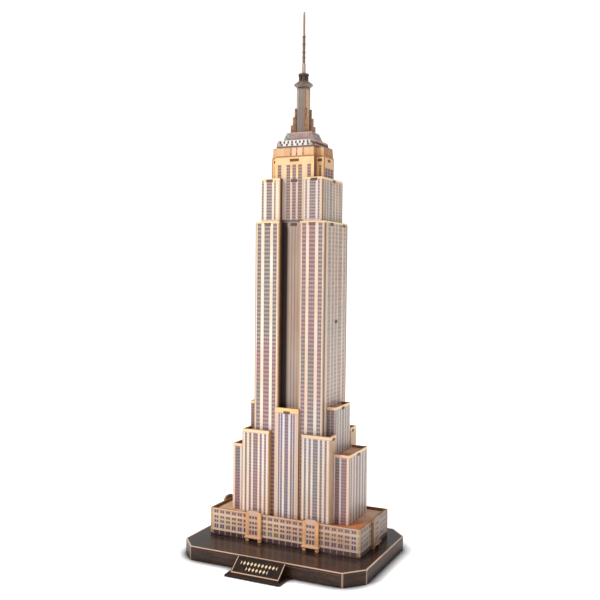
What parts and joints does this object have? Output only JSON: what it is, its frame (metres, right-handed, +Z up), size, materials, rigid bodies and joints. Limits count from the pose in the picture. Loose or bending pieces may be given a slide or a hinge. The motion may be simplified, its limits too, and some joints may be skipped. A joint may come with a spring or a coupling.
{
  "type": "miniature landmark model",
  "caption": "Press-out board model of a stepped Art Deco skyscraper with a mast and spire, standing on an octagonal base with a leaning nameplate.",
  "frame": {"origin": "on the base's underside, below the vertical axis of the tower", "axes": "+X along the long side of the base to the right seen from the nameplate, +Y away from the nameplate, +Z up to the spire"},
  "size_m": [0.179, 0.151, 0.5],
  "materials": {
    "facade": "printed facade with window strips between ivory piers, semi-gloss",
    "podium": "printed rows of paired windows on tan stone, semi-gloss",
    "roof": "printed tan and rust roof, semi-gloss",
    "gold": "printed warm gold, semi-gloss",
    "base": "printed dark brown with cream lines at the edges, glossy laminate",
    "board": "bare board, matt",
    "deck": "printed pale grey with dark dots, semi-gloss",
    "mast": "printed grey mauve and tan, semi-gloss",
    "spire": "brown and tan, matt"
  },
  "bodies": {
    "root": {"base_rib_cross": "board", "base_rib_long": "board", "base_top": "base", "centre_block_back": "facade", "centre_block_front": "facade", "centre_ledge_back": "gold", "centre_ledge_front": "gold", "core_wall_back": "facade", "core_wall_front": "facade", "corner_block_back_left": "facade", "corner_block_back_right": "facade", "corner_block_front_left": "facade", "corner_block_front_right": "facade", "corner_plate_left": "roof", "corner_plate_right": "roof", "crown_band": "gold", "crown_left": "gold", "crown_plate": "roof", "crown_right": "gold", "deck": "deck", "entrance_back_left": "gold", "entrance_back_right": "gold", "entrance_front_left": "gold", "entrance_front_right": "gold", "entrance_left": "gold", "entrance_right": "gold", "lantern": "spire", "mast_collar": "mast", "mast_fin_back_left": "mast", "mast_fin_back_right": "mast", "mast_fin_front_left": "mast", "mast_fin_front_right": "mast", "mast_shaft": "mast", "middle_plate": "board", "nameplate": "base", "plinth": "deck", "podium_back_wall": "podium", "podium_front_wall": "podium", "podium_left_wall": "podium", "podium_right_wall": "podium", "podium_roof": "roof", "shaft_left": "facade", "shaft_plate": "roof", "shaft_right": "facade", "side_block_left": "facade", "side_block_right": "facade", "side_plate": "roof", "skirt_back": "base", "skirt_front": "base", "skirt_left": "base", "skirt_right": "base", "spire": "spire", "upper_plate": "roof", "upper_shaft_left": "facade", "upper_shaft_right": "facade", "wing_left": "facade", "wing_left_roof": "roof", "wing_right": "facade", "wing_right_roof": "roof"}
  },
  "joints": []
}
